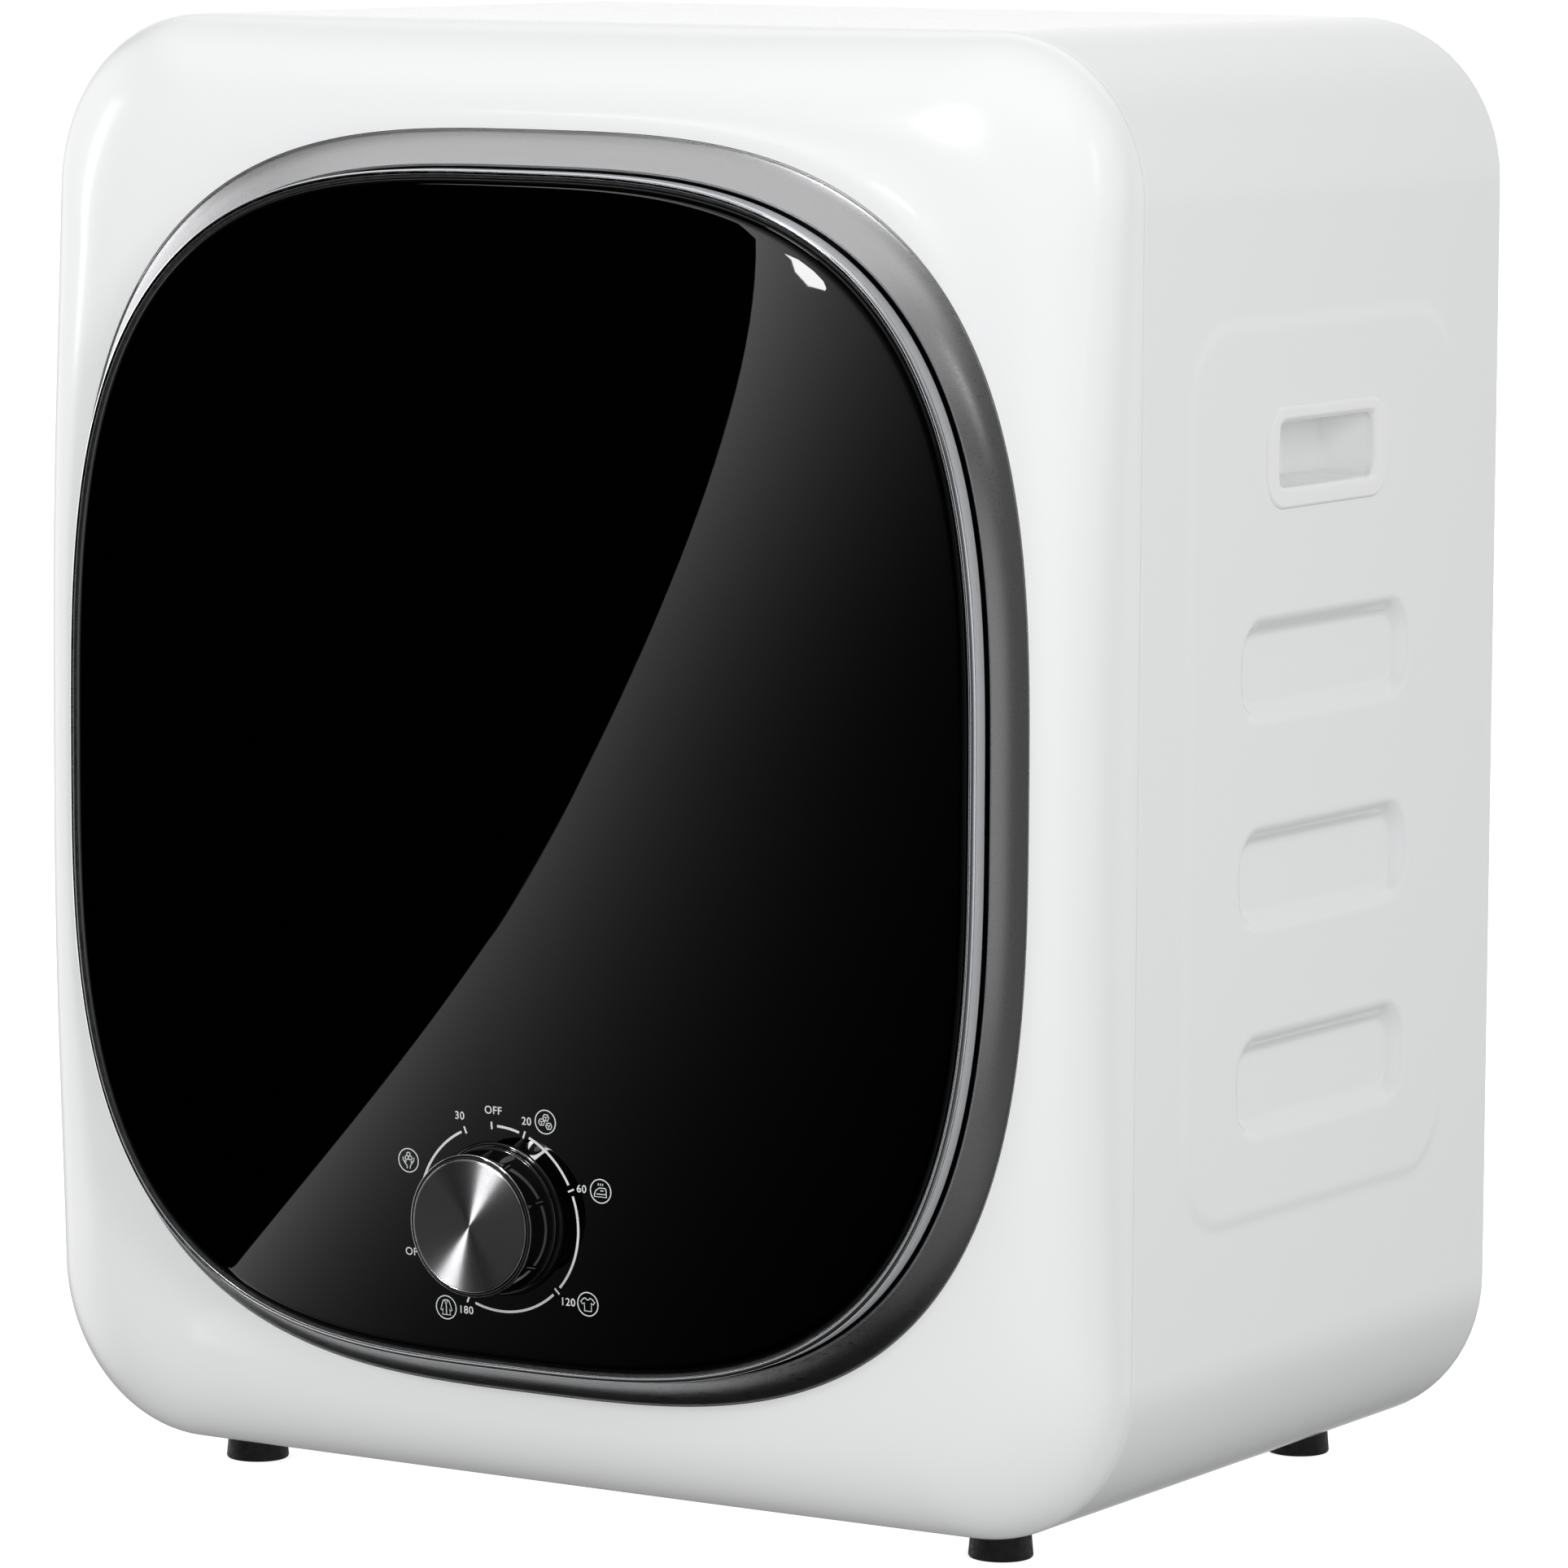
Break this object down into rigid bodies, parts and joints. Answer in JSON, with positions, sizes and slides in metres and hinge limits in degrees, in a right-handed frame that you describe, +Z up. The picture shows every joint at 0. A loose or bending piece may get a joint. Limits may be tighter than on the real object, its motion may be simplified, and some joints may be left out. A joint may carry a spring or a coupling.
{
  "type": "compact clothes dryer",
  "caption": "Compact vented clothes dryer: rounded white cabinet on rubber feet, squircle black glass door in a silver surround, dial timer on the door, belt-driven drum.",
  "frame": {"origin": "on the floor under the middle of the outline, at the bottom of the rubber feet", "axes": "+Z up, front door faces -Y, +X to the right seen from the front"},
  "size_m": [0.5092, 0.41, 0.603],
  "materials": {
    "body_paint": "smooth gloss white powder coat",
    "front_moulding": "high gloss white moulding",
    "cup_plastic": "gloss white moulding",
    "surround_silver": "satin silver with fine brushed bands",
    "trim_silver": "polished lip over a satin side wall",
    "door_black_glass": "opaque black backed tempered glass, mirror smooth",
    "well_plastic": "fine matt charcoal moulding",
    "dark_plastic": "matt dark moulding",
    "gloss_black": "piano black",
    "spun_metal": "spun bright face",
    "foot_rubber": "matt black rubber",
    "seal_rubber": "matt rubber",
    "felt": "pressed wool felt",
    "zinc_sheet": "spangled zinc coated sheet",
    "drum_steel": "rolled stainless sheet",
    "cover_paint": "light grey paint",
    "steel_parts": "bright zinc plated",
    "bronze": "oiled sintered bronze",
    "heater_ceramic": "ribbed heating block",
    "motor_paint": "dark enamel",
    "capacitor_case": "white can",
    "light_plastic": "light moulding",
    "filter_plastic": "blue grey frame with fine mesh"
  },
  "bodies": {
    "cabinet": {"cabinet_wrap": "body_paint", "front_panel": "front_moulding", "door_surround": "surround_silver", "well_panel": "well_plastic", "throat_tube": "well_plastic", "front_bulkhead": "zinc_sheet", "throat_felt": "felt", "rear_bulkhead": "zinc_sheet", "bearing_housing": "zinc_sheet", "bearing_sleeve": "bronze", "rear_felt": "felt", "rear_cover": "cover_paint", "rear_cover_screws": "steel_parts", "wall_bushes": "steel_parts", "exhaust_collar": "dark_plastic", "exhaust_duct": "dark_plastic", "fan_housing": "dark_plastic", "fan_outlet": "dark_plastic", "air_duct": "dark_plastic", "heater_housing": "zinc_sheet", "heater_element": "heater_ceramic", "thermostats": "dark_plastic", "motor_body": "motor_paint", "motor_cradle": "zinc_sheet", "run_capacitor": "capacitor_case", "drive_belt": "seal_rubber", "door_switch": "dark_plastic", "latch_body": "dark_plastic", "hinge_cabinet_leaf": "steel_parts", "hinge_pin": "steel_parts", "handle_cup_left": "cup_plastic", "handle_cup_right": "cup_plastic", "rubber_feet": "foot_rubber", "foot_screws": "steel_parts", "cord_gland": "dark_plastic"},
    "door": {"door_glass": "door_black_glass", "door_trim": "trim_silver", "door_frame": "dark_plastic", "door_liner": "well_plastic", "door_bowl": "drum_steel", "door_gasket": "seal_rubber", "door_strike": "steel_parts", "hinge_door_leaf": "steel_parts", "dial_seat": "gloss_black", "timer_body": "light_plastic"},
    "knob": {"knob_shell": "gloss_black", "knob_face": "spun_metal", "timer_shaft": "steel_parts"},
    "drum": {"drum_shell": "drum_steel", "drum_back": "drum_steel", "drum_baffles": "light_plastic", "drum_shaft": "steel_parts"},
    "rotor": {"rotor_shaft": "steel_parts", "motor_pulley": "dark_plastic", "fan_wheel": "dark_plastic"},
    "idler_arm": {"idler_arm": "steel_parts"},
    "idler_wheel": {"idler_pulley": "dark_plastic"},
    "lint_filter": {"lint_filter": "filter_plastic"},
    "latch_lever": {"latch_lever": "dark_plastic"},
    "switch_plunger": {"switch_plunger": "light_plastic"}
  },
  "joints": [
    {"name": "door_hinge", "type": "hinge", "parent": "cabinet", "child": "door", "pos_m": [-0.2105, -0.1724, 0.3075], "axis": [0, 0, -1], "range_deg": [0, 95]},
    {"name": "dial_turn", "type": "hinge", "parent": "door", "child": "knob", "pos_m": [0, -0.184, 0.131], "axis": [0, 1, 0], "range_deg": [0, 336]},
    {"name": "drum_spin", "type": "hinge", "parent": "cabinet", "child": "drum", "pos_m": [0, 0.019, 0.362], "axis": [0, 1, 0], "continuous": true},
    {"name": "motor_spin", "type": "hinge", "parent": "cabinet", "child": "rotor", "pos_m": [0.06, -0.011, 0.082], "axis": [0, 1, 0], "continuous": true},
    {"name": "idler_tension", "type": "hinge", "parent": "cabinet", "child": "idler_arm", "pos_m": [-0.04, 0.061, 0.05], "axis": [0, -1, 0], "range_deg": [0, 8], "stiffness_Nm_per_rad": 2, "springref_deg": -17.19},
    {"name": "idler_spin", "type": "hinge", "parent": "idler_arm", "child": "idler_wheel", "pos_m": [-0.03566, 0.076, 0.11604], "axis": [0, 1, 0], "continuous": true},
    {"name": "lint_filter_lift", "type": "slide", "parent": "cabinet", "child": "lint_filter", "axis": [0, 0, 1], "range_m": [0, 0.12]},
    {"name": "latch_release", "type": "hinge", "parent": "cabinet", "child": "latch_lever", "pos_m": [0.2075, -0.129, 0.307], "axis": [0, 0, 1], "range_deg": [0, 18], "stiffness_Nm_per_rad": 0.5, "springref_deg": -11.46},
    {"name": "switch_travel", "type": "slide", "parent": "cabinet", "child": "switch_plunger", "axis": [0, -1, 0], "range_m": [0, 0.004]}
  ],
  "couplings": [
    {"joint": "motor_spin", "follows": "drum_spin", "ratio": 25},
    {"joint": "idler_spin", "follows": "drum_spin", "ratio": -20},
    {"joint": "switch_travel", "follows": "door_hinge", "m_per_rad": 0.0024}
  ]
}
